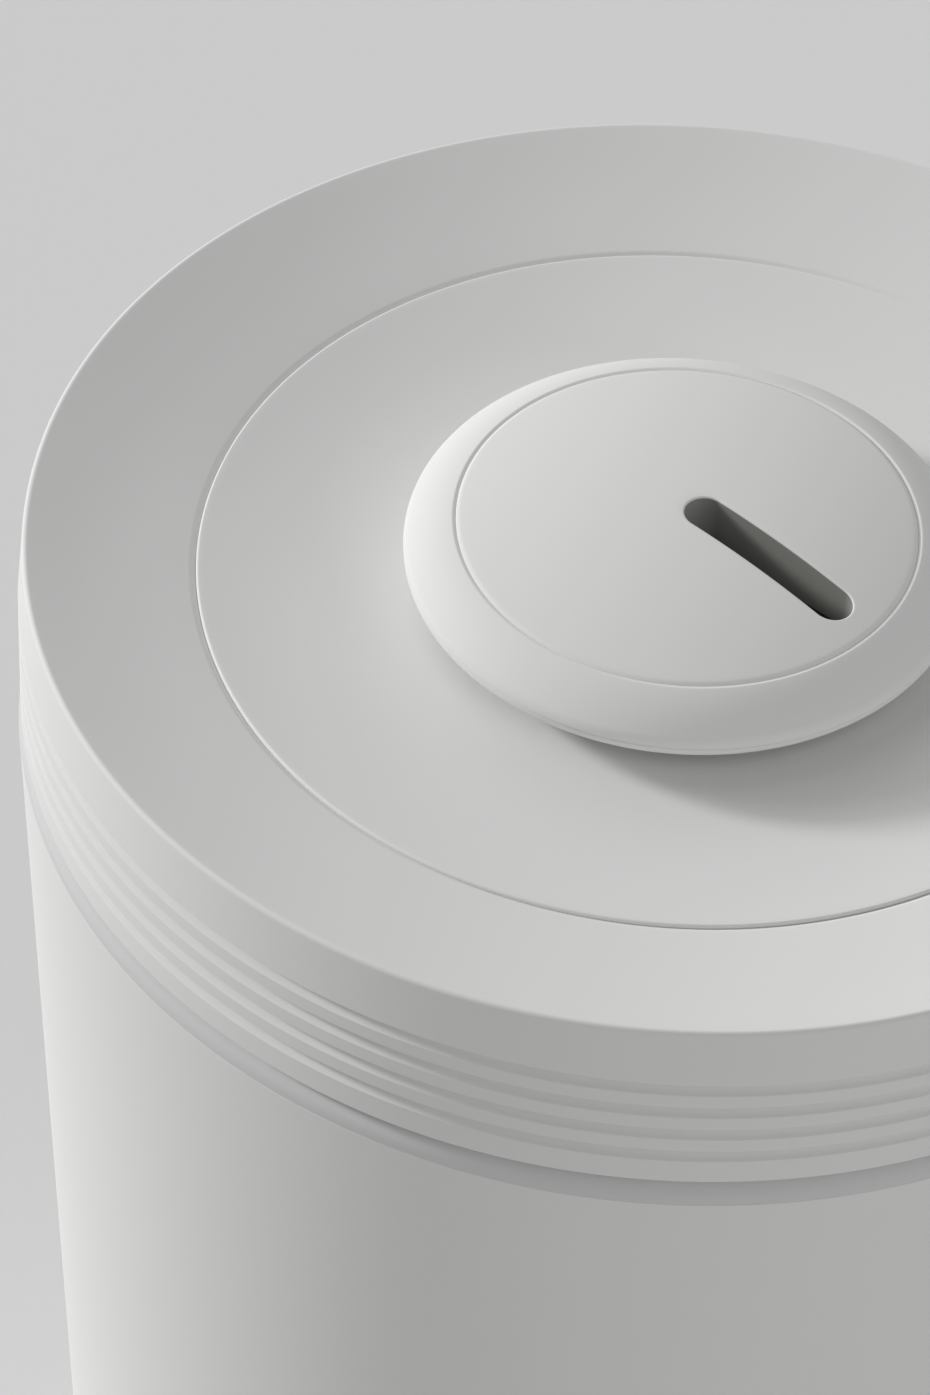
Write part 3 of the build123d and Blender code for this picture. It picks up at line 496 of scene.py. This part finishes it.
# a stack of rings (plan, height) closed into a tube and turned to the slot's direction
def ringStack(name, shape, rings):
    stacked = np.stack([np.column_stack([plan, height + 0 * plan[:, 0]]) for plan, height in rings])
    turn = math.radians(shape["turn"])
    x, y, z = stacked[..., 0], stacked[..., 1], stacked[..., 2]
    along, across = x * math.cos(turn) - y * math.sin(turn), x * math.sin(turn) + y * math.cos(turn)
    placed = np.stack([along, across, z], -1).reshape(-1, 3)
    return meshObject(name, placed, gridFaces(len(rings), len(x[0]), True, True), ringAngle)


def dialFace(shape, count=360):
    def slotAt(offset):
        return stadium(shape["slotWidth"], shape["slotLength"], offset, count)

    slot = slotAt(0)
    middle = np.array([shape["slotLength"] / 2, 0])
    angle = np.unwrap(np.arctan2(slot[:, 1], slot[:, 0] - middle[0]))
    # where a ray from the slot's middle meets the round edge
    direction = np.stack([np.cos(angle), np.sin(angle)], 1)
    along = direction @ middle

    def edgeAt(radius):
        reach = -along + np.sqrt(along**2 + radius**2 - middle @ middle)
        return middle + direction * reach[:, None]

    def onTop(plan, sink=0.0):
        return plan, dialHeight(shape, plan) - sink

    lip, rim, fall = shape["lipRound"], shape["edgeWidth"], shape["edgeFall"]
    lastFlat, lipOuter, socketRing = edgeAt(shape["radius"] - rim), slotAt(lip), slotAt(shape["socket"])
    rings = [onTop(lastFlat * share + lipOuter * (1 - share)) for share in np.linspace(1, 0, 26)]
    for step in np.linspace(0, math.pi / 2, 6)[1:]:
        rings.append(onTop(slotAt(lip * (1 - math.sin(step))), lip * (1 - math.cos(step))))
    rings.append(onTop(socketRing, lip))
    lower = edgeAt(shape["radius"])
    under = rimHeight + shape["edgeRise"] - shape["wall"]
    for share in np.linspace(0, 1, 8):
        plan = lower * share + socketRing * (1 - share)
        rings.append((plan, np.maximum(dialHeight(shape, plan, shape["wall"]), under)))
    for share in np.linspace(1, 0, 6)[:-1]:
        rings.append(onTop(edgeAt(shape["radius"] - rim * (1 - share)), fall * share**2))
    return ringStack("dialFace", shape, rings)


# tube between two stadiums, from under the dial's lip down to the bottom of the well
def pointerLiner(shape, count=240):
    inner = stadium(shape["slotWidth"], shape["slotLength"], 0, count)
    outer = stadium(shape["slotWidth"], shape["slotLength"], shape["linerWall"], count)
    sink = shape["lipRound"] + shape["linerGap"]
    wellBottom = rimHeight - shape["wellDrop"]
    rings = [
        (inner, dialHeight(shape, inner) - sink), (inner, wellBottom), (outer, wellBottom),
        (outer, dialHeight(shape, outer) - sink),
    ]
    return ringStack("pointerLiner", shape, rings)


dial = finishPiece(dialFace(dialShape), "dial", "white_shell", shellWhite, "dial_disc")
liner = finishPiece(pointerLiner(dialShape), "dial", "dark_plastic", linerDark, "pointer_liner")
print("dial:", len(dial.data.polygons) + len(liner.data.polygons), "faces")


# canister wall: lathe above and below, and between them one cell per slot, made of rings
# that run from the cell's border to the slot's outline and through the wall
wallShape = {
    "topRadius": 0.1216, "taper": 2.2, "wall": 0.0024, "edgeRound": 0.00012, "footRound": 0.0003,
    "slotCount": 120, "slotWidth": 0.0027, "slotLength": 0.0800, "slotBottom": 0.0260, "margin": 0.0040,
    "lipRound": 0.0003, "longestRun": 0.02,
}


# neck with the band that fills the gap under the lid, its grey painted shade of the gap; it stands on
# the wall's edge and turns in towards the lid with the cube of its height, so the lid shades its top too
neckShape = {
    "radius": 0.1160, "wall": 0.0030, "depth": 0.0200, "taper": 2.2, "topRound": 0.0004,
    "bandInset": 0.00005, "bandTurn": 0.0032, "slit": 0.0003,
}


def neckRing(shape):
    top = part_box("neck_ring")[1].z
    slope = math.tan(math.radians(shape["taper"]))
    foot, bandTop = bodyTop + hairline, lidBottom - shape["slit"]
    band = wallShape["topRadius"] - shape["bandInset"]
    under, low = foot - shape["wall"], bodyTop - shape["depth"]
    sleeve = wallShape["topRadius"] - wallShape["wall"] - hairline
    inner = shape["radius"] - shape["wall"]
    share = np.linspace(1, 0, 12)
    turned = np.stack([band - shape["bandTurn"] * share**3, foot + (bandTop - foot) * share], 1)
    corners = [
        (shape["radius"], top), (shape["radius"], bandTop), *map(tuple, turned), (sleeve, foot),
        (sleeve - shape["depth"] * slope, low), (sleeve - shape["depth"] * slope - shape["wall"], low),
        (sleeve - shape["wall"] * (1 + slope), under), (inner, under), (inner, top),
    ]
    rounds = {0: shape["topRound"], len(corners) - 1: shape["topRound"]}
    return lathe("neckRing", filledRuns(roundedOutline(corners, rounds)), 288)


# the band's grey material is painted shade for the gap under the lid
neck = finishPiece(neckRing(neckShape), "canister", "grey_band", paintedShadeBand, "neck_ring")
print("neck:", len(neck.data.polygons), "faces")


def canisterWall(shape):
    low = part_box("body_shell")[0].z
    slope = math.tan(math.radians(shape["taper"]))
    perCell = 4
    turns = perCell * shape["slotCount"]

    def radiusAt(height, inset=0.0):
        return shape["topRadius"] - (bodyTop - height) * slope - inset

    bandLow = shape["slotBottom"] - shape["margin"]
    bandHigh = shape["slotBottom"] + shape["slotLength"] + shape["margin"]
    wall = shape["wall"]
    corners = [
        (radiusAt(bandHigh), bandHigh), (radiusAt(bodyTop), bodyTop), (radiusAt(bodyTop, wall), bodyTop),
        (radiusAt(bandHigh, wall), bandHigh),
    ]
    upper = roundedOutline(corners, {1: shape["edgeRound"]})
    corners = [
        (radiusAt(bandLow, wall), bandLow), (radiusAt(low, wall), low), (radiusAt(low), low),
        (radiusAt(bandLow), bandLow),
    ]
    lower = roundedOutline(corners, {2: shape["edgeRound"], 1: shape["footRound"]})
    runs = [filledRuns(part, shape["longestRun"], closed=False) for part in (upper, lower)]
    parts = [latheArrays(run, turns, closed=False) for run in runs]

    # one cell in (arc, height) about its slot; the border and the slot have matching points
    sideSteps = 8
    pitch = 2 * math.pi / shape["slotCount"]
    middle = shape["slotBottom"] + shape["slotLength"] / 2
    halfArc = radiusAt(middle) * pitch / 2
    halfBand = (bandHigh - bandLow) / 2
    acrossTop = np.linspace(1, -1, perCell + 1)
    downSide = np.linspace(1, -1, sideSteps + 1)[1:-1]
    border = np.concatenate([
        np.stack([acrossTop * halfArc, np.full(perCell + 1, halfBand)], 1),
        np.stack([np.full(sideSteps - 1, -halfArc), downSide * halfBand], 1),
        np.stack([-acrossTop * halfArc, np.full(perCell + 1, -halfBand)], 1),
        np.stack([np.full(sideSteps - 1, halfArc), -downSide * halfBand], 1),
    ])
    capAngle = np.linspace(0, math.pi, perCell + 1)

    def slotRing(offset):
        half = shape["slotWidth"] / 2 + offset
        straight = shape["slotLength"] / 2 - shape["slotWidth"] / 2
        cap = np.stack([half * np.cos(capAngle), straight + half * np.sin(capAngle)], 1)
        side = np.stack([np.full(sideSteps - 1, -half), downSide * straight], 1)
        return np.concatenate([cap, side, -cap, -side])

    lip = shape["lipRound"]
    levels = [(border, 0.0), (slotRing(lip), 0.0), (slotRing(lip * 0.3), lip * 0.3), (slotRing(0), lip)]
    levels += [(plan, wall - depth) for plan, depth in reversed(levels)]
    plan = np.stack([level[0] for level in levels])
    depth = np.array([level[1] for level in levels])[:, None]
    height = middle + plan[..., 1]
    angle = plan[..., 0] / radiusAt(middle)
    radius = radiusAt(height, depth)
    spin = (np.arange(shape["slotCount"]) + 0.5)[:, None, None] * pitch
    cells = np.stack([
        radius * np.cos(angle + spin), radius * np.sin(angle + spin), height + 0 * spin,
    ], -1)
    count = plan.shape[0] * plan.shape[1]
    cellQuads = gridFaces(plan.shape[0], plan.shape[1], False, True)
    quads = (cellQuads[None] + (np.arange(shape["slotCount"]) * count)[:, None, None]).reshape(-1, 4)
    parts.append((cells.reshape(-1, 3), quads))
    start = np.cumsum([0] + [len(part[0]) for part in parts])
    vertices = np.concatenate([part[0] for part in parts])
    faces = np.concatenate([part[1] + offset for part, offset in zip(parts, start)])
    return meshObject("canisterWall", vertices, faces, ringAngle, weld=True)


canister = finishPiece(canisterWall(wallShape), "canister", "white_shell", shellWhite, "body_shell")
print("canister:", len(canister.data.polygons), "faces")


# the CAD nodes that stay get their own finish
finishes = {
    "base_plate": innerGrey, "rubber_feet": softRubber, "base_screws": turnedSteel,
    "filter_media": pleatPaper, "filter_top_cap": innerGrey, "filter_bottom_cap": innerGrey,
    "carbon_core": carbonFelt, "pre_filter": greyMesh, "filter_gasket": softRubber, "pull_strap": greyMesh,
    "fan_housing": innerGrey, "inlet_plate": innerGrey, "inlet_screws": turnedSteel,
    "lid_screws": turnedSteel, "head_seal": softRubber, "guide_vanes": innerGrey, "motor_can": castAlloy,
    "stator_core": darkIron, "lower_bearing": turnedSteel, "upper_bearing": turnedSteel, "stem": innerGrey,
    "outlet_guard": innerGrey, "dome_screws": turnedSteel, "control_board": boardGreen,
    "encoder_body": mattBlack, "main_board": boardGreen, "particle_sensor": mattBlack,
    "power_inlet": mattBlack, "impeller": innerGrey, "motor_shaft": turnedSteel, "rotor_magnet": darkIron,
    "encoder_shaft": turnedSteel, "dial_carrier": mattBlack,
}
for name, material in finishes.items():
    mesh = nodes[name].data
    mesh.materials.clear()
    mesh.materials.append(material)


# floor: one pale plane; the camera sees it at the background's tone, and the object at the tone
# of the light that comes back up from it
floorShape = {"half": 6.0, "seen": (0.88, 0.88, 0.88), "bounce": (0.70, 0.70, 0.68)}


def floorPlane(shape):
    half = shape["half"]
    corners = np.array([(-half, -half, 0), (half, -half, 0), (half, half, 0), (-half, half, 0)], float)
    made = meshObject("floor", corners, np.array([[0, 1, 2, 3]]))
    material = bpy.data.materials.new("floorPaper")
    material.use_nodes = True
    tree = material.node_tree
    shader = tree.nodes["Principled BSDF"]
    shader.inputs["Roughness"].default_value = 0.95
    shader.inputs["Specular IOR Level"].default_value = 0.05
    path = addNode(tree, "ShaderNodeLightPath")
    straight = addNode(tree, "ShaderNodeMath", operation="ADD", use_clamp=True)
    shown = addNode(tree, "ShaderNodeMath", operation="ADD", use_clamp=True)
    tree.links.new(path.outputs["Is Camera Ray"], straight.inputs[0])
    tree.links.new(path.outputs["Is Glossy Ray"], straight.inputs[1])
    tree.links.new(straight.outputs[0], shown.inputs[0])
    tree.links.new(path.outputs["Is Transmission Ray"], shown.inputs[1])
    tone = addNode(tree, "ShaderNodeMix", data_type="RGBA")
    tone.inputs["A"].default_value = (*shape["bounce"], 1)
    tone.inputs["B"].default_value = (*shape["seen"], 1)
    tree.links.new(shown.outputs[0], tone.inputs["Factor"])
    tree.links.new(tone.outputs["Result"], shader.inputs["Base Color"])
    made.data.materials.append(material)


floorPlane(floorShape)


# soft studio light: a low key on the left and a little behind, weak ones around it and an even sky;
# azimuth counts from +x towards +y and spread is a light's apparent width, in degrees
lights = {
    "key": {"azimuth": 161, "elevation": 18, "spread": 9, "strength": 1.84},
    "upperKey": {"azimuth": 168, "elevation": 24, "spread": 9, "strength": 0.36},
    "front": {"azimuth": 325, "elevation": 10, "spread": 25, "strength": 0.42},
    "frontTop": {"azimuth": 300, "elevation": 45, "spread": 40, "strength": 0.20},
    "back": {"azimuth": 112.5, "elevation": 30, "spread": 40, "strength": 0.42},
    "top": {"azimuth": 150, "elevation": 60, "spread": 40, "strength": 0.27},
}
skyStrength = 0.235


def studioLight(name, setting):
    light = bpy.data.lights.new(name, "SUN")
    light.energy = setting["strength"]
    light.angle = math.radians(setting["spread"])
    azimuth, elevation = math.radians(setting["azimuth"]), math.radians(setting["elevation"])
    level = math.cos(elevation)
    toward = Vector((level * math.cos(azimuth), level * math.sin(azimuth), math.sin(elevation)))
    made = bpy.data.objects.new(name, light)
    made.rotation_euler = toward.to_track_quat("Z", "Y").to_euler()
    scene.collection.objects.link(made)


for name, setting in lights.items():
    studioLight(name, setting)
world = bpy.data.worlds.new("studio")
world.use_nodes = True
world.node_tree.nodes["Background"].inputs["Color"].default_value = (1, 1, 1, 1)
world.node_tree.nodes["Background"].inputs["Strength"].default_value = skyStrength
scene.world = world
print("light:", len(lights), "lamps and the sky")


# camera: in front of the lid's rim and above it, turned a little off the rim's centre
view = {
    "distance": 1.01855, "elevation": 0.7480, "yaw": 0.0368, "pitch": -0.0315, "roll": -0.0868,
    "focalPixels": 5602.8, "frameHeight": 1395, "sensor": 36.0,
}


def photoCamera(setting):
    data = bpy.data.cameras.new("photoCamera")
    data.sensor_width = setting["sensor"]
    data.lens = setting["focalPixels"] / setting["frameHeight"] * setting["sensor"]
    data.clip_end = 50
    elevation = setting["elevation"]
    offset = Vector((0, -math.cos(elevation), math.sin(elevation))) * setting["distance"]
    forward = -offset.normalized()
    right = Vector((1, 0, 0))
    up = right.cross(forward)
    yaw = Matrix.Rotation(setting["yaw"], 3, up)
    forward, right = yaw @ forward, yaw @ right
    pitch = Matrix.Rotation(setting["pitch"], 3, right)
    forward, up = pitch @ forward, pitch @ up
    roll = Matrix.Rotation(setting["roll"], 3, forward)
    right, up = roll @ right, roll @ up
    made = bpy.data.objects.new("photoCamera", data)
    turn = Matrix((right, up, -forward)).transposed().to_4x4()
    made.matrix_world = Matrix.Translation(offset + Vector((0, 0, rimHeight))) @ turn
    scene.collection.objects.link(made)
    scene.camera = made


photoCamera(view)
